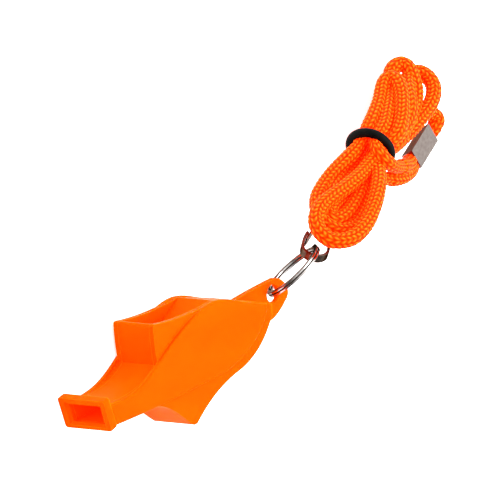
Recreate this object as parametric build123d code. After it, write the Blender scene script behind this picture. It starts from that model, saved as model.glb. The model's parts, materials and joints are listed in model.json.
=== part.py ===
"""Pealess rescue whistle with a split ring, a snap hook and a folded, banded cord lanyard.

The whistle lies on its left side. +Y runs from the mouth to the tail, -X is the whistle's
back (upper sound box), +X its belly (lower sound box), and +Z is up. Millimetres.
"""
from build123d import *
from math import cos, radians, sin, tan
import os

# ---- driving dimensions -------------------------------------------------------------
WIDTH = 12.8                     # over both side panels, and the height as it lies
PANEL = 0.85                     # how far a side panel stands proud of the box walls
PANEL_EDGE = 0.4                 # rounding of the panel's rim
WALL = 1.2                       # side wall of the sound boxes
CORE_LOW = PANEL + WALL          # the core lies between the two side walls
CORE_HIGH = WIDTH - CORE_LOW
MID = WIDTH / 2

LIP_TILT = 15.8                  # the mouth lip leans, degrees
LIP_HEIGHT = 7.4
LIP_DEPTH = 1.9
SLOT_HEIGHT = 4.2                # breath slot
SLOT_WIDTH = 8.7
SLOT_BEVEL = 0.7

LUG_THICK = 1.4
LUG_HOLE = (67.0, 10.0)          # along, above the mouth axis
LUG_HOLE_D = 3.9

RING_OD = 15.2
RING_WIRE = 1.0                  # radial width of the flat wire
RING_TURN = 0.6                  # axial thickness of one turn
RING_PITCH = 0.68
RING_TURNS = 1.97

STRIP = 0.6                      # hook strip thickness
STRIP_WIDTH = 1.8                # at the eye and the rivet
BOW_WIDTH = 2.2                  # the strip widens round the bow, on the side away from the hank
HOOK_HALF = 2.9                  # half width of the hook's bow, on the strip's middle
HOOK_LENGTH = 13.25              # bow to eye centre
EYE_D = 4.8                      # clear eye
EYE_WALL = 0.9
GATE_THICK = 0.35
GATE_EAR = 0.3
GATE_GAP = 0.06                  # between a moving gate ear and the shank
PIVOT = (9.1, -0.1)              # gate rivet, in the hook's plane
RIVET_D = 0.8

CORD_D = 3.6
EYE_LOOP = 3.1                   # half the spread of the cord where it turns through the eye
BAND_D = 2.1                     # rubber band's section

SLEEVE_LENGTH = 7.8
SLEEVE_WIDTH = 6.0               # each face, across the cords
SLEEVE_DEPTH = 4.2
SLEEVE_SKEW = 3.2                # how far the crimping has pushed the lower face sideways
SLEEVE_SHEET = 0.45
SLEEVE_GAP = 0.4                 # cord ends stop this far from the sleeve's mouths


# ---- frames -------------------------------------------------------------------------
HOLE = Vector(-LUG_HOLE[1], LUG_HOLE[0], MID)
RING_OUT = Vector(-0.573, 0.713, 0.405).normalized()        # from the lug hole to the ring centre
RING_NORMAL = Vector(0.806, 0.401, 0.435)
RING_MEAN = (RING_OD - RING_WIRE) / 2
RING_CENTRE = HOLE + RING_OUT * RING_MEAN
RING_PLANE = Plane(origin=RING_CENTRE, x_dir=RING_OUT, z_dir=RING_NORMAL)
RING_FAR = HOLE + RING_OUT * (2 * RING_MEAN)                # where the hook hangs on the ring

HOOK_LINE = Vector(-0.497, 0.812, -0.306).normalized()      # bow to eye
HOOK_NORMAL = Vector(0.790, 0.278, -0.546).normalized()
HOOK_ACROSS = HOOK_NORMAL.cross(HOOK_LINE)                  # towards the hook's back
HOOK_BOW = RING_FAR - HOOK_LINE * 2.95 - HOOK_ACROSS * 0.2   # middle of the bow, on the strip
HOOK_PLANE = Plane(origin=HOOK_BOW, x_dir=HOOK_LINE, z_dir=HOOK_NORMAL)
EYE = HOOK_BOW + HOOK_LINE * HOOK_LENGTH

# The hank, from the loops that lie over the hook to the far end on the floor: the middle of
# each cross-section, its half width and half thickness, and how far it leans, in degrees.
HANK_SECTIONS = [
    ((-19.3, 77.0, 17.0), 3.0, 1.9, 46),
    ((-21.1, 79.6, 16.6), 5.6, 2.5, 46),
    ((-25.4, 85.4, 14.8), 7.0, 2.9, 46),
    ((-29.8, 94.6, 12.0), 6.4, 3.5, 44),
    ((-33.9, 102.6, 9.4), 4.3, 4.1, 40),
    ((-37.6, 111.6, 6.7), 5.3, 4.3, 36),
    ((-41.9, 119.7, 4.8), 5.9, 3.5, 33),
    ((-46.0, 122.8, 4.2), 3.0, 2.2, 33),
]
BAND_AT = 4                      # the section that the rubber band is round
HANK_SIDEWAYS = Vector(0.82, 0.57, 0.0)

SLEEVE_CENTRE = Vector(-30.2, 121.6, 7.4)
SLEEVE_LINE = Vector(0.593, -0.803, -0.048).normalized()    # towards the neck loop's two ends
SLEEVE_ACROSS = Vector(0.798, 0.595, -0.104)
SLEEVE_PLANE = Plane(origin=SLEEVE_CENTRE, x_dir=SLEEVE_ACROSS, z_dir=SLEEVE_LINE)


def in_hook(along, across, out=0.0):
    """A point given in the hook's own directions."""
    return HOOK_BOW + HOOK_LINE * along + HOOK_ACROSS * across + HOOK_NORMAL * out


def in_sleeve(across, up, along):
    """A point given in the metal sleeve's own directions."""
    return SLEEVE_PLANE.from_local_coords(Vector(across, up, along))


# ---- whistle ------------------------------------------------------------------------
def flat(along, above):
    """A point of the whistle's profile, lying down: along the whistle, above its axis."""
    return (-above, along)


def lip_back(above):
    """A point on the leaning face where the body meets the mouth lip."""
    return (LIP_DEPTH / cos(radians(LIP_TILT)) - above * tan(radians(LIP_TILT)), above)


RAMP = [lip_back(2.4), (9.5, 2.5), (15.0, 3.8), (19.6, 6.3)]
BOX_FRONT = [(19.6, 6.3), (19.2, 10.5), (19.25, 14.7)]
BOX_CORNER = [(19.25, 14.7), (19.45, 15.2), (19.95, 15.4)]
TOP_REAR = [(40.6, 15.5), (48.0, 13.6), (60.2, 9.9)]
TAIL = [(60.2, 9.9), (60.0, 7.4)]
BELLY_REAR = [(60.0, 7.4), (55.6, 2.3), (47.0, -1.8)]
FIN_FRONT = [(15.0, -2.5), (20.4, -3.1), (25.2, -6.0), (29.9, -9.6)]
FIN_TIP = [(29.9, -9.6), (31.0, -9.5)]


def outline(*runs):
    """A face from runs of profile points: two points make a line, more a smooth curve."""
    edges = []
    for run in runs:
        points = [flat(*point) for point in run]
        edges.append(Line(*points) if len(points) == 2 else Spline(*points))
    return make_face(edges)


def slab(face, low, high):
    """The face, drawn on the floor plane, as a slab between two heights."""
    solid = extrude(face, amount=high - low)
    return Pos(0, 0, low - solid.bounding_box().min.Z) * solid


def panel_face():
    """Swelling side panel: a long low front that rises into the tail."""
    return outline(
        [lip_back(-2.6), lip_back(2.3)],
        [lip_back(2.3), (8.0, 2.4), (13.5, 3.9), (22.0, 8.8), (31.0, 13.3), (40.6, 15.5), (48.0, 13.7),
         (57.9, 10.5)],
        [(57.9, 10.5), (54.6, 5.2), (50.0, 2.2), (42.4, -0.6)],
        [(42.4, -0.6), (18.3, -2.2), lip_back(-2.6)],
    )


def body_face():
    """Whole silhouette behind the panels, with the upper box and the swept lower box."""
    return outline(
        [lip_back(-2.5), lip_back(2.4)],
        RAMP,
        BOX_FRONT,
        BOX_CORNER,
        [BOX_CORNER[-1], (30.0, 14.8), TOP_REAR[0]],
        TOP_REAR,
        TAIL,
        BELLY_REAR,
        [BELLY_REAR[-1], (38.2, -4.8), FIN_TIP[-1]],
        FIN_TIP,
        FIN_FRONT,
        [FIN_FRONT[0], lip_back(-2.5)],
    )


def side_shell():
    """The left side of the whistle: the box wall with the round-edged panel proud of it."""
    panel = slab(panel_face(), 0, PANEL)
    rim = panel.faces().sort_by(Axis.Z)[0].edges()
    return slab(body_face(), PANEL, CORE_LOW) + fillet(rim, PANEL_EDGE)


def upper_mouth_block():
    """Roof of the mouth channel and front wall of the upper sound box."""
    face = outline(
        [lip_back(2.1), lip_back(2.4)],
        RAMP,
        BOX_FRONT,
        BOX_CORNER,
        [BOX_CORNER[-1], (20.5, 15.3)],
        [(20.5, 15.3), (20.4, 10.5), (20.9, 6.0)],
        [(20.9, 6.0), (15.0, 2.7), (9.5, 1.6), lip_back(2.1)],
    )
    return slab(face, CORE_LOW, CORE_HIGH)


def lower_mouth_block():
    """Floor of the mouth channel and front wall of the lower sound box."""
    face = outline(
        [lip_back(-2.1), lip_back(-2.5)],
        [lip_back(-2.5), FIN_FRONT[0]],
        FIN_FRONT,
        FIN_TIP,
        [FIN_TIP[-1], (30.4, -8.3)],
        [(30.4, -8.3), (26.9, -5.4)],
        [(26.9, -5.4), (26.9, -0.4)],
        [(26.9, -0.4), (15.0, -0.9), lip_back(-2.1)],
    )
    return slab(face, CORE_LOW, CORE_HIGH)


def breath_splitter():
    """Wedge that divides the breath between two windways, and the web behind it."""
    face = outline(
        [(11.0, 0.3), (15.5, 1.7), (21.2, 4.9)],
        [(21.2, 4.9), (22.4, 4.4)],
        [(22.4, 4.4), (54.0, 6.4)],
        [(54.0, 6.4), (54.0, 5.5)],
        [(54.0, 5.5), (28.0, 3.6)],
        [(28.0, 3.6), (27.0, 0.7)],
        [(27.0, 0.7), (11.0, 0.3)],
    )
    return slab(face, CORE_LOW, CORE_HIGH)


def resonator_block():
    """Both blowing edges, the closed tail of the two chambers, and the ring lug."""
    face = outline(
        [(29.0, 8.4), (35.3, 12.5)],
        [(35.3, 12.5), TOP_REAR[0]],
        TOP_REAR,
        TAIL,
        BELLY_REAR,
        [BELLY_REAR[-1], (36.5, 1.4)],
        [(36.5, 1.4), (46.5, 0.6)],
        [(46.5, 0.6), (50.5, 1.5), (54.0, 3.6)],
        [(54.0, 3.6), (54.0, 9.4)],
        [(54.0, 9.4), (46.0, 12.1), (40.0, 12.5)],
        [(40.0, 12.5), (29.0, 8.4)],
    )
    return slab(face, CORE_LOW, CORE_HIGH) + lug()


def lug():
    """Thin fin on the middle plane that carries the ring."""
    face = outline(
        [(59.6, 10.1), (54.0, 11.9)],
        [(54.0, 11.9), (60.5, 12.6), (67.4, 13.1)],
        [(67.4, 13.1), (70.9, 11.8), (72.2, 9.3), (70.9, 7.4)],
        [(70.9, 7.4), (64.0, 4.2), (58.6, 5.4)],
        [(58.6, 5.4), (59.6, 10.1)],
    )
    plate = slab(face, MID - LUG_THICK / 2, MID + LUG_THICK / 2)
    plate = plate - Pos(HOLE) * Cylinder(LUG_HOLE_D / 2, WIDTH)
    hole_edges = plate.edges().filter_by(GeomType.CIRCLE)
    return chamfer(hole_edges, LUG_THICK / 5)


def mouth_lip():
    """Raised rectangular lip round the breath slot, leaning forward at the top."""
    lean = radians(LIP_TILT)
    down_front = Vector(tan(lean), -1, 0).normalized()
    front = Plane(origin=(0, 0, MID), x_dir=(0, 0, 1), z_dir=down_front)
    block = extrude(front * RectangleRounded(WIDTH, LIP_HEIGHT, 0.6), amount=-LIP_DEPTH)
    block = block - Pos(0, 0, MID) * Box(SLOT_HEIGHT, 4 * LIP_DEPTH + SLOT_HEIGHT, SLOT_WIDTH)
    front_face = block.faces().sort_by(Axis((0, 0, 0), down_front))[-1]
    block = chamfer(front_face.inner_wires()[0].edges(), SLOT_BEVEL)
    return block


# ---- split ring and hook ------------------------------------------------------------
def split_ring():
    """Two turns of flat wire, side by side."""
    rise = RING_PITCH * RING_TURNS
    coil = Helix(pitch=RING_PITCH, height=rise, radius=RING_MEAN)
    start = Plane(origin=coil @ 0, x_dir=(1, 0, 0), z_dir=coil % 0)
    ring = sweep(start * Rectangle(RING_WIRE, RING_TURN), path=coil, is_frenet=True)
    return RING_PLANE.location * Rot(0, 0, 250) * Pos(0, 0, -rise / 2) * ring


def hook_frame():
    """Bow, nose and back of the snap hook, in one bent strip, with the eye for the cord."""
    half = HOOK_HALF
    bow = Spline(
        (6.2, -half * 0.86), (4.8, -half * 0.97), (3.2, -half), (1.2, -half * 0.86), (0, 0),
        (1.2, half * 0.86), (3.6, half), (6.8, half * 0.74), (9.6, half * 0.3),
    )
    start = Plane(origin=bow @ 0, x_dir=(0, 0, 1), z_dir=bow % 0)
    widened = (BOW_WIDTH - STRIP_WIDTH) / 2
    bent = sweep(start * Pos(widened, 0) * Rectangle(BOW_WIDTH, STRIP), path=bow)
    eye_at = Pos(HOOK_LENGTH, 0, 0)
    shank_face = make_face(
        Polyline((8.3, 0.5), (8.5, -0.8), (10.6, -1.0), (10.6, 1.2), (8.9, 1.5), close=True))
    shank = extrude(shank_face, amount=STRIP_WIDTH / 2, both=True)
    frame = bent + shank + eye_at * Cylinder(EYE_D / 2 + EYE_WALL, STRIP_WIDTH)
    frame = frame - eye_at * Cylinder(EYE_D / 2, STRIP_WIDTH * 2)
    frame = frame - Pos(*PIVOT, 0) * Cylinder(RIVET_D / 2, STRIP_WIDTH * 2)
    return HOOK_PLANE.location * frame


def hook_rivet():
    """Pin through the shank, with a head outside each gate ear."""
    reach = STRIP_WIDTH / 2 + GATE_GAP + GATE_EAR + GATE_GAP
    pin = Cylinder(RIVET_D / 2, 2 * reach)
    head = Pos(0, 0, reach + 0.15) * Cylinder(RIVET_D * 0.85, 0.3)
    tail = Pos(0, 0, -reach - 0.15) * Cylinder(RIVET_D * 0.85, 0.3)
    return HOOK_PLANE.location * Pos(*PIVOT, 0) * (pin + head + tail)


def hook_gate():
    """Sprung gate: a strip that shuts behind the nose, with two ears on the rivet."""
    tip = (3.6, -HOOK_HALF + STRIP / 2 + GATE_THICK / 2 + 0.05)
    strip_line = Polyline(tip, (8.0, -1.45), (8.6, -1.3))
    start = Plane(origin=strip_line @ 0, x_dir=(0, 0, 1), z_dir=strip_line % 0)
    width = STRIP_WIDTH + 2 * (GATE_GAP + GATE_EAR)
    leaf = sweep(start * Rectangle(width, GATE_THICK), path=strip_line, transition=Transition.RIGHT)
    ear_line = Polyline(
        (7.7, -1.6), (8.6, -1.3), (9.1, -0.9), (9.9, -0.2), (9.5, 0.6), (8.6, 0.5), close=True)
    ear_face = make_face(ear_line)
    ears = []
    for side in (1, -1):
        middle = side * (STRIP_WIDTH / 2 + GATE_GAP + GATE_EAR / 2)
        ears.append(Pos(0, 0, middle) * extrude(ear_face, amount=GATE_EAR / 2, both=True))
    gate = leaf + ears[0] + ears[1]
    gate = gate - Pos(*PIVOT, 0) * Cylinder(RIVET_D / 2 + 0.04, 10)
    return HOOK_PLANE.location * gate


# ---- lanyard ------------------------------------------------------------------------
def section_plane(index):
    """Cross-section plane of the hank, square to its line, leaning as the loops lean."""
    centre = Vector(*HANK_SECTIONS[index][0])
    before = Vector(*HANK_SECTIONS[max(index - 1, 0)][0])
    after = Vector(*HANK_SECTIONS[min(index + 1, len(HANK_SECTIONS) - 1)][0])
    line = (after - before).normalized()
    sideways = (HANK_SIDEWAYS - line * HANK_SIDEWAYS.dot(line)).normalized()
    lean = HANK_SECTIONS[index][3]
    upright = line.cross(sideways)
    across = sideways * cos(radians(lean)) - upright * sin(radians(lean))
    return Plane(origin=centre, x_dir=across, z_dir=line)


def hank_oval(index, grow=0.0):
    """Oval cross-section of the folded cord at one place."""
    half_width, half_thick = HANK_SECTIONS[index][1:3]
    return section_plane(index) * Ellipse(half_width + grow, half_thick + grow)


def cord_hank():
    """Outer shape of the folded neck loop."""
    return loft([hank_oval(index) for index in range(len(HANK_SECTIONS))])


def rubber_band():
    """Rubber band pulled tight round the middle of the hank."""
    path = hank_oval(BAND_AT, 0.35).face().outer_wire()
    start = Plane(origin=path @ 0, z_dir=path % 0)
    return sweep(start * Circle(BAND_D / 2), path=path)


def corner_radius(before, corner, after):
    """Largest arc that the two runs at a corner leave room for."""
    into, away = corner - before, after - corner
    half_turn = radians(into.get_angle(away)) / 2
    return 0.45 * min(into.length, away.length) / tan(half_turn)


def tube(name, points):
    """Cord laid along straight runs joined by tangent arcs."""
    points = [Vector(*point) for point in points]
    radii = [corner_radius(*points[i - 1:i + 2]) for i in range(1, len(points) - 1)]
    path = FilletPolyline(*points, radius=radii)
    section = Plane(origin=path @ 0, z_dir=path % 0) * Circle(CORD_D / 2)
    solid = sweep(section, path=path)
    print(name, "length", round(path.length, 1), "tightest arc", round(min(radii), 1))
    return solid


def eye_loop():
    """Cord that turns through the hook's eye and goes up into the hank."""
    return tube("cord_eye_loop", [
        (-29.8, 95.4, 8.6),
        in_hook(HOOK_LENGTH + 5.0, 0, EYE_LOOP),
        in_hook(HOOK_LENGTH, 0, EYE_LOOP),
        in_hook(HOOK_LENGTH, 0, -EYE_LOOP),
        in_hook(HOOK_LENGTH + 4.0, 0, -EYE_LOOP),
    ])


def sleeve_loop():
    """Cord that leaves the far end of the sleeve and turns back under it into the hank."""
    return tube("cord_sleeve_loop", [
        in_sleeve(1.4, 0, -SLEEVE_LENGTH / 2 - SLEEVE_GAP),
        (-36.3, 127.4, 7.5),
        (-33.0, 131.0, 6.2),
        (-30.8, 129.2, 3.2),
        (-33.0, 124.6, 2.6),
        (-37.4, 121.0, 3.6),
    ])


def inner_end():
    """Neck loop's first end, from the hank to the sleeve."""
    return tube("cord_inner_end", [
        (-32.6, 103.4, 10.2),
        (-29.0, 105.8, 9.6),
        (-26.9, 109.9, 9.0),
        (-26.8, 113.6, 8.8),
        in_sleeve(-0.5, 0.6, SLEEVE_LENGTH / 2 + SLEEVE_GAP),
    ])


def outer_end():
    """Neck loop's other end, one diameter further out."""
    return tube("cord_outer_end", [
        (-31.2, 103.0, 6.4),
        (-27.2, 106.4, 5.6),
        (-23.8, 111.0, 5.8),
        (-22.6, 115.2, 6.3),
        in_sleeve(3.3, -0.5, SLEEVE_LENGTH / 2 + SLEEVE_GAP),
    ])


def sleeve():
    """Folded sheet-metal sleeve, crimped askew on two runs of cord, with its seam underneath."""
    top, bottom = SLEEVE_DEPTH / 2, -SLEEVE_DEPTH / 2
    right, left = SLEEVE_WIDTH / 2, -SLEEVE_WIDTH / 2
    corners = [(left, top), (right, top), (right + SLEEVE_SKEW, bottom), (left + SLEEVE_SKEW, bottom)]
    outer = make_face(Polyline(*corners, close=True))
    inner = offset(outer, amount=-SLEEVE_SHEET, kind=Kind.INTERSECTION)
    seam = Pos(SLEEVE_SKEW, bottom) * Rectangle(0.5, 3 * SLEEVE_SHEET)
    section = SLEEVE_PLANE * (outer - inner - seam)
    return extrude(section, amount=SLEEVE_LENGTH / 2, both=True)


# ---- write --------------------------------------------------------------------------
left = side_shell()
RIGID = {
    "left_side_shell": left,
    "right_side_shell": mirror(left, about=Plane.XY.offset(MID)),
    "upper_mouth_block": upper_mouth_block(),
    "lower_mouth_block": lower_mouth_block(),
    "breath_splitter": breath_splitter(),
    "resonator_block": resonator_block(),
    "mouth_lip": mouth_lip(),
    "split_ring": split_ring(),
    "hook_frame": hook_frame(),
    "hook_rivet": hook_rivet(),
    "hook_gate": hook_gate(),
}
LANYARD = {
    "cord_hank": cord_hank(),
    "rubber_band": rubber_band(),
    "cord_eye_loop": eye_loop(),
    "cord_sleeve_loop": sleeve_loop(),
    "cord_inner_end": inner_end(),
    "cord_outer_end": outer_end(),
    "metal_sleeve": sleeve(),
}

# The origin goes on the floor, under the middle of the whistle, ring and hook.
middle = Compound(list(RIGID.values())).bounding_box().center()
to_origin = Pos(-middle.X, -middle.Y, 0)
os.makedirs("parts", exist_ok=True)
for name, shape in (RIGID | LANYARD).items():
    export_step(to_origin * shape, f"parts/{name}.step")

PLACES = {
    "mouth": Vector(0, 0, MID),
    "lug hole": HOLE,
    "ring centre": RING_CENTRE,
    "ring far": RING_FAR,
    "gate pivot": in_hook(*PIVOT),
    "eye": EYE,
    "sleeve": SLEEVE_CENTRE,
}
for name, place in PLACES.items():
    x, y, z = place - Vector(middle.X, middle.Y, 0)
    print(f"{name}: {x:.3f}, {y:.3f}, {z:.3f}")
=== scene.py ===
"""Looks of the pealess whistle and its banded cord lanyard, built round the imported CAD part."""

import json
import bpy
import numpy as np
from mathutils import Matrix, Vector


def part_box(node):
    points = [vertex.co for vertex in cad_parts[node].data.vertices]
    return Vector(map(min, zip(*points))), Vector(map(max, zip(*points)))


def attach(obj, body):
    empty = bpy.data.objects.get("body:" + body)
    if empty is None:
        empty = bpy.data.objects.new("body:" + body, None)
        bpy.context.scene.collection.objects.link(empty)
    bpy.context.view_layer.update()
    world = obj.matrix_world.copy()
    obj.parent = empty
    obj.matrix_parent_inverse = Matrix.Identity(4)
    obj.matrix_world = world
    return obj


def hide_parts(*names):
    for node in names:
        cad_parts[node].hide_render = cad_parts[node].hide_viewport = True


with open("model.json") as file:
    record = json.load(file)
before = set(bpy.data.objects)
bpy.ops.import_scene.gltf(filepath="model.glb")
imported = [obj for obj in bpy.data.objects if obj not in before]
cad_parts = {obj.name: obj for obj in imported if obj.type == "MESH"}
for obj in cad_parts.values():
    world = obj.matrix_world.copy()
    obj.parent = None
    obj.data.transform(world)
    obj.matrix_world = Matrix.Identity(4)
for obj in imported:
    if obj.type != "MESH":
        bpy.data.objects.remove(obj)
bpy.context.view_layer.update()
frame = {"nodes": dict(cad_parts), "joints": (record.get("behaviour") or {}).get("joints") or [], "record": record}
MM = 0.001
JOINTS = {joint["name"]: joint for joint in frame["joints"]}

# ---- driving dimensions, millimetres --------------------------------------------------
CORD_D = 3.6
STITCH = 1.25                    # one knitted V along the cord
COLUMNS = 6                      # columns of V stitches round the cord
STITCH_HEIGHT = 0.34
MESH_STEP = 0.17                 # between cross-sections of the cord's mesh
AROUND = 42                      # points round the cord
BAND_GRIP = 0.80                 # share of its radius that the cord keeps inside the band
BAND_REACH = 9.0                 # cord this near the band's middle is inside or beside it
SLEEVE_GRIP = 0.72               # the same, inside the metal sleeve
SLEEVE_REACH = 7.0
RING_OUTER = 7.6                 # the split ring's outer radius
RING_RADIAL = 1.0                # its flat wire
RING_AXIAL = 0.6
RING_PITCH = 0.68
RING_TURNS = 1.97
STEPS_A_TURN = 150
EDGE = 0.16                      # rounding of the wire's edges
RIM = 0.30                       # width of the painted highlight along the plastic's rounded edges

# The hank's own directions, at the middle of the rubber band: along it to the far end,
# across it, and up out of its loops.
band_low, band_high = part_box("rubber_band")
BAND_MIDDLE = (band_low + band_high) / 2
HANK_ALONG = Vector((-0.490, 0.840, -0.235)).normalized()
HANK_UP = Vector((-0.744, -0.262, 0.614))
HANK_UP = (HANK_UP - HANK_ALONG * HANK_UP.dot(HANK_ALONG)).normalized()
HANK_ACROSS = HANK_ALONG.cross(HANK_UP)

EYE = Vector(JOINTS["lanyard_swing"]["pos_m"])
HOOK_LINE = Vector((-0.497, 0.812, -0.306)).normalized()
HOOK_NORMAL = Vector(JOINTS["gate_hinge"]["axis"]).normalized()

sleeve_low, sleeve_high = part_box("metal_sleeve")
SLEEVE_MIDDLE = (sleeve_low + sleeve_high) / 2
SLEEVE_LINE = Vector((0.593, -0.803, -0.048)).normalized()
SLEEVE_ACROSS = Vector((0.798, 0.595, -0.104)).normalized()

ring_low, ring_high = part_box("split_ring")
RING_MIDDLE = (ring_low + ring_high) / 2
RING_AXIS = Vector((0.806, 0.401, 0.435)).normalized()
RING_START = Vector((-0.573, 0.713, 0.405))            # from the ring's middle to the wire's ends


def in_hank(along, across, up):
    return BAND_MIDDLE + (HANK_ALONG * along + HANK_ACROSS * across + HANK_UP * up) * MM


def by_eye(along, out):
    return EYE + (HOOK_LINE * along + HOOK_NORMAL * out) * MM


def in_sleeve(along, across, up):
    upright = SLEEVE_LINE.cross(SLEEVE_ACROSS)
    return SLEEVE_MIDDLE + (SLEEVE_LINE * along + SLEEVE_ACROSS * across + upright * up) * MM


def hank(*points):
    return [in_hank(*point) for point in points]


# ---- camera ---------------------------------------------------------------------------
CAMERA_BACK = Vector((-0.234, -0.752, 0.616)).normalized()
CAMERA_UP = Vector((-0.967, 0.243, -0.070))
CAMERA_AIM = Vector((-12.8, 18.0, 6.0)) * MM
CAMERA_AWAY = 4.0
FIELD = 0.1087                   # width seen at the aim point


def make_camera():
    data = bpy.data.cameras.new("camera")
    camera = bpy.data.objects.new("camera", data)
    bpy.context.scene.collection.objects.link(camera)
    right = CAMERA_UP.cross(CAMERA_BACK).normalized()
    up = CAMERA_BACK.cross(right)
    turn = Matrix((right, up, CAMERA_BACK)).transposed().to_4x4()
    camera.matrix_world = Matrix.Translation(CAMERA_AIM + CAMERA_BACK * CAMERA_AWAY) @ turn
    data.sensor_width = 36
    data.lens = 36 * CAMERA_AWAY / FIELD
    data.clip_start = 0.1
    data.clip_end = 20
    bpy.context.scene.camera = camera


make_camera()

# ---- cord route, from its sewn end in the hank to its end in the metal sleeve ------------
ROUTE = [
    # sewn end, through the hook's eye and back
    *hank((-8.0, -2.0, -1.5)),
    by_eye(5.0, 3.5), by_eye(0.2, 3.5), by_eye(0.2, -3.3), by_eye(4.6, -3.9),
    # along the underside of the hank to its far end
    *hank((-10.5, -3.5, -1.5), (-5.5, -2.8, -2.5), (0, -1.6, -2.5), (5, 0.5, -3.0), (10, 2.5, -3.0),
          (14.5, 4.5, -3.5), (18.5, 6.3, -4.5), (21.0, 8.0, -5.5), (22.6, 9.8, -6.8), (22.6, 11.4, -7.8),
          (20.8, 11.3, -8.4)),
    in_sleeve(-3.9, 0.4, 0), in_sleeve(0, -0.2, 0), in_sleeve(3.9, -1.2, 0.2),
    # out of the sleeve's mouth, over the hank and under the band
    *hank((6.5, 9.0, -8.0), (2.0, 7.6, -4.0), (-1.8, 6.4, -0.6), (-3.9, 4.0, 2.5), (-3.0, 1.8, 3.4),
          (-1.0, 0.6, 3.0), (1.0, 0.3, 2.8)),
    # up the middle and round the large far loop
    *hank((5.5, 1.0, 2.5), (10.0, 0.5, 2.0), (14.5, 0.0, 1.0), (19.0, -1.0, 0.0), (22.5, -2.0, -0.5),
          (25.0, -2.0, 0.0), (26.8, -0.8, 0.0), (26.3, 1.1, 0.3), (24.3, 2.7, 0.0), (22.0, 4.3, -0.4),
          (19.0, 5.3, -1.0), (15.0, 5.8, -1.0), (10.0, 5.5, -0.3), (5.5, 4.9, 0.0)),
    # under the band on the right, and round the front loop over the hook
    *hank((0, 3.3, -0.5), (-5.0, 2.8, 1.0), (-8.5, 4.0, 2.2), (-13.5, 5.0, 3.0), (-19.0, 5.5, 3.0),
          (-24.0, 5.3, 3.0), (-28.5, 4.0, 3.0), (-31.0, 1.5, 3.0), (-32.0, -1.0, 3.0), (-30.5, -4.0, 3.0),
          (-27.5, -5.6, 3.0), (-23.5, -5.5, 3.0), (-19.5, -3.8, 2.8), (-15.0, -1.7, 2.5), (-10.5, 0, 2.0),
          (-6.0, 1.0, 1.3)),
    # under the band, up the front and round the small far loop
    *hank((0.5, 2.6, 2.0), (4.0, 4.4, 2.9), (8.0, 4.1, 3.0), (12.0, 3.1, 3.0), (15.5, 2.2, 2.6),
          (18.5, 0.8, 2.3), (20.4, -0.8, 1.8), (20.1, -2.4, 1.1), (17.5, -2.6, 0.9), (14.0, -2.0, 1.0),
          (10.5, -1.9, 1.4), (6.0, -2.0, 1.6)),
    # under the band on the left, and round the middle loop
    *hank((0.5, -2.5, 1.4), (-2.5, -2.8, 1.0), (-6.0, -4.0, 0.5), (-10.5, -5.6, 0.0), (-15.5, -6.6, -0.2),
          (-20.0, -6.8, 0.3), (-23.8, -5.4, 0.7), (-26.0, -3.3, 0.8), (-26.5, -0.8, 0.6),
          (-25.3, 1.4, 0.2), (-23.0, 3.4, -0.2), (-18.5, 4.1, -0.5), (-13.5, 4.0, -0.6), (-8.5, 3.0, -1.0),
          (-5.0, 2.2, -1.5)),
    # under the band and round the loose far loop on the right
    *hank((0, 1.5, -2.6), (6.0, 4.9, -2.0), (11.0, 6.6, -1.5), (15.5, 7.7, -1.5), (19.0, 8.5, -1.4),
          (22.5, 8.6, -1.2), (25.5, 7.6, -1.0), (27.5, 5.4, -1.2), (28.0, 3.2, -1.8), (25.5, 1.8, -1.0),
          (21.0, 2.2, 0.6), (17.5, 3.6, 1.2), (14.0, 5.0, 1.3), (10.0, 5.2, 0.8), (5.5, 4.3, 0.5)),
    # under the band and round the inner loop
    *hank((0.5, 0.5, 0.0), (-4.5, 0.4, -0.9), (-9.0, 1.3, -0.6), (-13.5, 1.5, -0.3), (-18.5, 1.0, 0.2),
          (-22.2, 0, 0.6), (-24.2, -1.4, 0.8), (-23.7, -3.0, 0.8), (-21.0, -3.3, 0.5),
          (-17.6, -2.4, -0.4), (-13.5, -1.0, -1.5), (-8.5, 0.6, -2.8), (-4.5, 2.6, -4.0)),
    # off to the right and into the sleeve
    *hank((-2.0, 4.8, -5.0), (0.8, 7.6, -7.0), (5.0, 9.6, -9.0)),
    in_sleeve(3.9, 1.4, -0.2), in_sleeve(0.5, 1.4, -0.2),
]


def route_line(points):
    """The smooth line of the cord: a NURBS spline, read back as even steps."""
    data = bpy.data.curves.new("route", "CURVE")
    data.dimensions = "3D"
    spline = data.splines.new("NURBS")
    spline.points.add(len(points) - 1)
    for target, point in zip(spline.points, points):
        target.co = (*point, 1)
    spline.order_u = 3
    spline.use_endpoint_u = True
    spline.resolution_u = 12
    curve = bpy.data.objects.new("route", data)
    bpy.context.scene.collection.objects.link(curve)
    bpy.context.view_layer.update()
    mesh = bpy.data.meshes.new_from_object(curve)
    line = np.array([vertex.co for vertex in mesh.vertices])
    bpy.data.objects.remove(curve)
    bpy.data.meshes.remove(mesh)
    return line


def even_steps(line, step):
    """The line again, with its points one step apart."""
    gaps = np.linalg.norm(np.diff(line, axis=0), axis=1)
    far = np.concatenate([[0], np.cumsum(gaps)])
    count = int(far[-1] / step)
    at = np.linspace(0, far[-1], count)
    return np.stack([np.interp(at, far, line[:, axis]) for axis in range(3)], axis=1), at


def carried_frames(line):
    """A side and an up vector at each point, carried along without twisting."""
    tangents = np.gradient(line, axis=0)
    tangents /= np.linalg.norm(tangents, axis=1)[:, None]
    side = np.cross(tangents[0], [0, 0, 1])
    side /= np.linalg.norm(side)
    sides = []
    for tangent in tangents:
        side = side - tangent * np.dot(side, tangent)
        side /= np.linalg.norm(side)
        sides.append(side)
    sides = np.array(sides)
    return sides, np.cross(tangents, sides)


def smooth(t):
    t = np.clip(t, 0, 1)
    return t * t * (3 - 2 * t)


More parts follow.
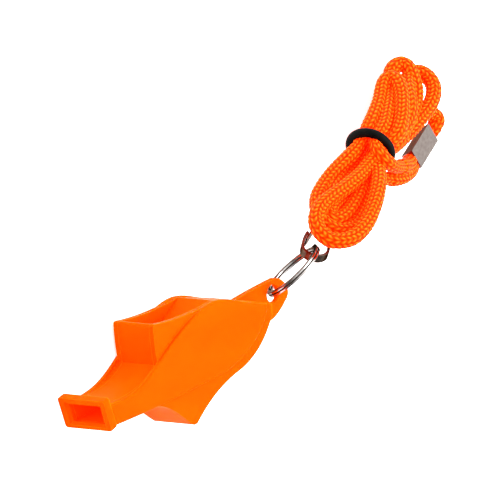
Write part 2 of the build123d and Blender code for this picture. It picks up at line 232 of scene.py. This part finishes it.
def squeeze(line):
    """How much of its free radius the cord keeps, inside the band and the sleeve."""
    from_band = line - np.array(BAND_MIDDLE)
    along = np.abs(from_band @ np.array(HANK_ALONG)) / MM
    near = np.linalg.norm(from_band, axis=1) / MM < BAND_REACH
    keep = np.where(near, BAND_GRIP + (1 - BAND_GRIP) * smooth((along - 1.0) / 4.0), 1.0)
    from_sleeve = line - np.array(SLEEVE_MIDDLE)
    inside = np.abs(from_sleeve @ np.array(SLEEVE_LINE)) / MM
    close = np.linalg.norm(from_sleeve, axis=1) / MM < SLEEVE_REACH
    grip = SLEEVE_GRIP + (1 - SLEEVE_GRIP) * smooth((inside - 3.6) / 2.0)
    return np.minimum(keep, np.where(close, grip, 1.0))


def knit(at, angle):
    """Height of the knitted surface, 0 to 1, at a distance along the cord and an angle round it."""
    column = angle * COLUMNS / (2 * np.pi)
    x = 2 * np.abs(column - np.round(column))            # 0 mid column, 1 between columns
    stagger = 0.5 * (np.round(column) % 2)
    wander = 0.10 * np.sin(at / 0.0029 + 2.1 * np.round(column))
    wander = wander + 0.07 * np.sin(at / 0.0011 + 4.0 * column)
    phase = at / (STITCH * MM) + stagger - 0.62 * x + wander
    leg = 2 * np.abs(phase - np.round(phase))            # 0 on a leg's crest, 1 in the crease
    crest = np.sqrt(np.clip(1 - (leg * 0.98) ** 2.2, 0, 1))
    fold = np.exp(-(x / 0.16) ** 2) * 0.38                # the V's own middle groove
    edge = smooth((x - 0.72) / 0.28) * 0.55
    return np.clip(crest - fold - edge, 0, 1)


def cord_mesh(name, line, at):
    sides, ups = carried_frames(line)
    angle = np.linspace(0, 2 * np.pi, AROUND, endpoint=False)
    drift = 0.35 * np.sin(at / 0.021) + 0.2 * np.sin(at / 0.0083)
    turned = angle[None, :] + drift[:, None]
    height = knit(at[:, None], turned)
    keep = squeeze(line)
    radius = (CORD_D / 2 - STITCH_HEIGHT * (1 - height)) * MM * keep[:, None]
    out = np.cos(angle)[None, :, None] * sides[:, None, :] + np.sin(angle)[None, :, None] * ups[:, None, :]
    points = (line[:, None, :] + out * radius[:, :, None]).reshape(-1, 3)
    rings = np.arange(len(line) - 1)[:, None] * AROUND
    here, following = np.arange(AROUND)[None, :], np.roll(np.arange(AROUND), -1)[None, :]
    corners = [rings + here, rings + following, rings + AROUND + following, rings + AROUND + here]
    faces = np.stack(corners, axis=-1)
    faces = faces.reshape(-1, 4).tolist()
    faces.append(list(range(AROUND))[::-1])
    faces.append(list(range(len(points) - AROUND, len(points))))
    mesh = bpy.data.meshes.new(name)
    mesh.from_pydata(points.tolist(), [], faces)
    # The knit's height is kept for the cord's material, which paints shade in the creases and highlights on the
    # crests.
    shade = mesh.attributes.new("stitch", "FLOAT", "POINT")
    shade.data.foreach_set("value", height.astype(np.float32).ravel())
    mesh.shade_smooth()
    cord = bpy.data.objects.new(name, mesh)
    bpy.context.scene.collection.objects.link(cord)
    return cord


# ---- materials ------------------------------------------------------------------------
class Nodes:
    """A material's nodes, made and joined in few words."""

    def __init__(self, name):
        self.material = bpy.data.materials.new(name)
        self.material.use_nodes = True
        self.tree = self.material.node_tree
        self.shader = self.tree.nodes["Principled BSDF"]

    def add(self, kind, **settings):
        node = self.tree.nodes.new("ShaderNode" + kind)
        for key, value in settings.items():
            setattr(node, key, value)
        return node

    def join(self, output, target):
        self.tree.links.new(output, target)

    def noise(self, scale, detail=4.0, stretch=None):
        """Noise over the object's own coordinates, in metres."""
        place = self.add("TexCoord").outputs["Object"]
        if stretch:
            mapping = self.add("Mapping")
            mapping.inputs["Scale"].default_value = stretch
            self.join(place, mapping.inputs["Vector"])
            place = mapping.outputs["Vector"]
        noise = self.add("TexNoise")
        noise.inputs["Scale"].default_value = scale
        noise.inputs["Detail"].default_value = detail
        self.join(place, noise.inputs["Vector"])
        return noise.outputs["Fac"]

    def ramp(self, source, *stops):
        ramp = self.add("ValToRGB")
        while len(ramp.color_ramp.elements) < len(stops):
            ramp.color_ramp.elements.new(0.5)
        for element, (position, colour) in zip(ramp.color_ramp.elements, stops):
            element.position = position
            element.color = (*colour, 1)
        self.join(source, ramp.inputs["Fac"])
        return ramp.outputs["Color"]

    def mix(self, fac, a, b):
        node = self.add("Mix", data_type="RGBA")
        sockets = [s for s in node.inputs if s.type == "RGBA"]
        self.join(fac, node.inputs["Factor"])
        self.join(a, sockets[0])
        self.join(b, sockets[1])
        return [s for s in node.outputs if s.type == "RGBA"][0]

    def vary(self, source, low, high, socket):
        """Maps a 0 to 1 value to a range and feeds it to one of the shader's inputs."""
        change = self.add("MapRange")
        change.inputs["To Min"].default_value = low
        change.inputs["To Max"].default_value = high
        self.join(source, change.inputs["Value"])
        self.join(change.outputs["Result"], self.shader.inputs[socket])

    def bump(self, source, distance, strength=1.0, base=None):
        bump = self.add("Bump")
        bump.inputs["Distance"].default_value = distance
        bump.inputs["Strength"].default_value = strength
        self.join(source, bump.inputs["Height"])
        if base:
            self.join(base, bump.inputs["Normal"])
        self.join(bump.outputs["Normal"], self.shader.inputs["Normal"])

    def set(self, **values):
        for key, value in values.items():
            self.shader.inputs[key.replace("_", " ")].default_value = value


def whistle_plastic():
    """Bright plastic, paler along its rounded edges, where a highlight is painted into the colour."""
    m = Nodes("orange_moulded_plastic")
    flow = m.noise(120, 3, (1, 0.35, 1))
    colour = m.ramp(flow, (0.3, (0.90, 0.054, 0.0)), (0.7, (0.96, 0.066, 0.0)))
    rounding = m.add("Bevel", samples=6)
    rounding.inputs["Radius"].default_value = RIM * MM
    flatness = m.add("VectorMath", operation="DOT_PRODUCT")
    m.join(rounding.outputs["Normal"], flatness.inputs[0])
    m.join(m.add("NewGeometry").outputs["Normal"], flatness.inputs[1])
    painted_edge_highlight = m.add("RGB")
    painted_edge_highlight.outputs["Color"].default_value = (1.0, 0.14, 0.003, 1)
    # Painted highlight: the base colour turns paler where the rounded edges bend away from the flat faces.
    edge = m.ramp(flatness.outputs["Value"], (0.70, (1, 1, 1)), (0.97, (0, 0, 0)))
    m.join(m.mix(edge, colour, painted_edge_highlight.outputs["Color"]), m.shader.inputs["Base Color"])
    m.vary(m.noise(900, 5), 0.28, 0.42, "Roughness")
    m.bump(m.noise(2600, 3), 0.000012, 0.5, rounding.outputs["Normal"])
    # The emission is painted light: a faint orange glow that brightens the plastic's shaded sides.
    m.set(IOR=1.03, Specular_Tint=(1.0, 0.42, 0.10, 1.0), Subsurface_Weight=0.45,
          Subsurface_Scale=0.002, Subsurface_Radius=(1.0, 0.30, 0.05),
          Emission_Color=(1.0, 0.035, 0.0, 1.0), Emission_Strength=0.35)
    return m.material


def knitted_cord():
    m = Nodes("knitted_orange_cord")
    stitch = m.add("Attribute", attribute_name="stitch").outputs["Fac"]
    # Painted shade and highlight: darker red in the creases between stitches, paler orange on their crests.
    colour = m.ramp(stitch, (0.0, (0.80, 0.004, 0.0)), (0.45, (0.92, 0.016, 0.0)), (0.82, (0.98, 0.060, 0.0)),
                    (1.0, (1.0, 0.17, 0.008)))
    m.join(colour, m.shader.inputs["Base Color"])
    m.vary(m.noise(3000, 4), 0.45, 0.62, "Roughness")
    m.bump(m.noise(5200, 5), 0.00004, 0.7)
    # The emission is painted light: a faint orange glow over the whole cord.
    m.set(IOR=1.1, Specular_Tint=(1.0, 0.5, 0.2, 1.0), Emission_Color=(1.0, 0.012, 0.0, 1.0),
          Emission_Strength=0.4, Sheen_Weight=0.03, Sheen_Roughness=0.4,
          Sheen_Tint=(1.0, 0.45, 0.15, 1.0), Subsurface_Weight=0.2, Subsurface_Scale=0.001,
          Subsurface_Radius=(1.0, 0.25, 0.05))
    return m.material


def metal(name, low, high, roughness, stretch, grain):
    """A metal whose tone and polish vary along its grain."""
    m = Nodes(name)
    streak = m.noise(grain, 5, stretch)
    m.join(m.ramp(streak, (0.3, low), (0.7, high)), m.shader.inputs["Base Color"])
    m.vary(streak, roughness[0], roughness[1], "Roughness")
    m.bump(m.noise(grain * 2.5, 3, stretch), 0.000008, 0.5)
    m.set(Metallic=1.0, Specular_Tint=(0.25, 0.20, 0.17, 1.0))
    return m.material


def band_rubber():
    m = Nodes("black_rubber")
    tone = m.ramp(m.noise(700, 4), (0.3, (0.001, 0.001, 0.001)), (0.75, (0.004, 0.0035, 0.003)))
    m.join(tone, m.shader.inputs["Base Color"])
    m.vary(m.noise(1500, 4), 0.42, 0.62, "Roughness")
    m.bump(m.noise(2500, 5), 0.00003, 0.6)
    m.set(IOR=1.12)
    return m.material


def give(material, *names):
    for name in names:
        node = frame["nodes"][name]
        node.data.materials.clear()
        node.data.materials.append(material)


# ---- cord -----------------------------------------------------------------------------
raw_line = route_line(ROUTE)
cord_line, cord_at = even_steps(raw_line, MESH_STEP * MM * (1))
cord = cord_mesh("braided_cord", cord_line, cord_at)
cord.data.materials.append(knitted_cord())
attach(cord, "lanyard")
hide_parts("cord_hank", "cord_eye_loop", "cord_sleeve_loop", "cord_inner_end", "cord_outer_end")

# ---- CAD pieces -------------------------------------------------------------------------
WHISTLE = frame["record"]["behaviour"]["bodies"]["whistle"]
plastic = whistle_plastic()
give(plastic, *WHISTLE)
give(metal("dark_strip_steel", (0.06, 0.045, 0.035), (0.13, 0.10, 0.08), (0.14, 0.28), (1, 1, 1), 700),
     "hook_frame", "hook_rivet", "hook_gate")
give(metal("brushed_sleeve", (0.16, 0.135, 0.125), (0.21, 0.185, 0.17), (0.28, 0.42), (1, 1, 4), 1200),
     "metal_sleeve")
give(band_rubber(), "rubber_band")


# ---- split ring -----------------------------------------------------------------------
def split_ring():
    """The ring's flat wire, wound side by side in nearly two turns."""
    start = (RING_START - RING_AXIS * RING_START.dot(RING_AXIS)).normalized()
    side = RING_AXIS.cross(start)
    steps = int(STEPS_A_TURN * RING_TURNS)
    half_r, half_a = RING_RADIAL / 2, RING_AXIAL / 2
    section = []
    for corner_r, corner_a, first in ((1, 1, 0), (-1, 1, 90), (-1, -1, 180), (1, -1, 270)):
        for part in (0, 30, 60, 90):
            turn = np.radians(first + part)
            section.append((corner_r * (half_r - EDGE) + EDGE * np.cos(turn),
                            corner_a * (half_a - EDGE) + EDGE * np.sin(turn)))
    points, faces, corners = [], [], []
    for step in range(steps + 1):
        turned = 2 * np.pi * RING_TURNS * step / steps
        outward = start * np.cos(turned) + side * np.sin(turned)
        rise = RING_PITCH * RING_TURNS * (step / steps - 0.5)
        for radial, axial in section:
            reach = outward * (RING_OUTER - half_r + radial) + RING_AXIS * (rise + axial)
            points.append(RING_MIDDLE + reach * MM)
        # 1 on the middle of each rounded corner, where the ring's material paints shade.
        corners += [0.0, 1.0, 1.0, 0.0] * 4
    count = len(section)
    for step in range(steps):
        for i in range(count):
            a, b = step * count + i, step * count + (i + 1) % count
            faces.append((a, b, b + count, a + count))
    faces.append(tuple(range(count))[::-1])
    faces.append(tuple(range(steps * count, (steps + 1) * count)))
    mesh = bpy.data.meshes.new("wound_ring")
    mesh.from_pydata(points, [], faces)
    mesh.attributes.new("corner", "FLOAT", "POINT").data.foreach_set("value", corners)
    mesh.shade_smooth()
    ring = bpy.data.objects.new("wound_ring", mesh)
    bpy.context.scene.collection.objects.link(ring)
    return ring


def ring_metal():
    """Bright plate, with painted shade in dark brown along the wire's rounded corners."""
    m = Nodes("nickel_ring")
    plate = m.ramp(m.noise(900, 5), (0.3, (0.26, 0.24, 0.23)), (0.7, (0.42, 0.40, 0.38)))
    # Painted shade: the dark brown laid on the rounded corners stands in for their dark reflections.
    painted_corner_shade = m.add("RGB")
    painted_corner_shade.outputs["Color"].default_value = (0.035, 0.020, 0.012, 1)
    corner = m.add("Attribute", attribute_name="corner").outputs["Fac"]
    m.join(m.mix(corner, plate, painted_corner_shade.outputs["Color"]), m.shader.inputs["Base Color"])
    m.vary(corner, 0.12, 0.35, "Roughness")
    m.bump(m.noise(2200, 3), 0.000006, 0.5)
    m.set(Metallic=1.0, Specular_Tint=(0.25, 0.20, 0.17, 1.0))
    return m.material


ring = split_ring()
ring.data.materials.append(ring_metal())
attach(ring, "ring")
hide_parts("split_ring")


# ---- floor and light ----------------------------------------------------------------------
def floor():
    mesh = bpy.data.meshes.new("floor")
    reach = 2.0
    corners = [(-reach, -reach, 0), (reach, -reach, 0), (reach, reach, 0), (-reach, reach, 0)]
    mesh.from_pydata(corners, [], [(0, 1, 2, 3)])
    plane = bpy.data.objects.new("floor", mesh)
    bpy.context.scene.collection.objects.link(plane)
    m = Nodes("pale_floor")
    tone = m.ramp(m.noise(6, 3), (0.3, (0.86, 0.86, 0.86)), (0.7, (0.9, 0.9, 0.9)))
    m.join(tone, m.shader.inputs["Base Color"])
    m.set(Roughness=0.8, IOR=1.1, Emission_Color=(1.0, 1.0, 1.0, 1.0), Emission_Strength=0.7)
    mesh.materials.append(m.material)


def area_light(name, place, aim, size, power, colour=(1, 1, 1)):
    data = bpy.data.lights.new(name, "AREA")
    data.shape = "DISK"
    data.size = size
    data.energy = power
    data.color = colour
    lamp = bpy.data.objects.new(name, data)
    bpy.context.scene.collection.objects.link(lamp)
    lamp.location = place
    lamp.rotation_mode = "QUATERNION"
    lamp.rotation_quaternion = (Vector(place) - Vector(aim)).to_track_quat("Z", "Y")


def studio():
    """Soft light that is brightest overhead and behind, and dark low in front."""
    world = bpy.data.worlds.new("studio")
    bpy.context.scene.world = world
    world.use_nodes = True
    tree = world.node_tree
    direction = tree.nodes.new("ShaderNodeTexCoord")
    facing = tree.nodes.new("ShaderNodeVectorMath")
    facing.operation = "DOT_PRODUCT"
    facing.inputs[1].default_value = Vector((-0.25, 0.45, 0.86)).normalized()
    spread = tree.nodes.new("ShaderNodeMapRange")
    spread.inputs["From Min"].default_value = -0.1
    spread.inputs["To Min"].default_value = 0.3
    spread.inputs["To Max"].default_value = 3.2
    background = tree.nodes["Background"]
    tree.links.new(direction.outputs["Generated"], facing.inputs[0])
    tree.links.new(facing.outputs["Value"], spread.inputs["Value"])
    tree.links.new(spread.outputs["Result"], background.inputs["Strength"])
    background.inputs["Color"].default_value = (1.0, 1.0, 1.0, 1)
    area_light("key", (-0.1, 0.2, 0.7), CAMERA_AIM, 0.5, 4.5)
    bpy.context.scene.view_settings.view_transform = "Standard"


floor()
studio()
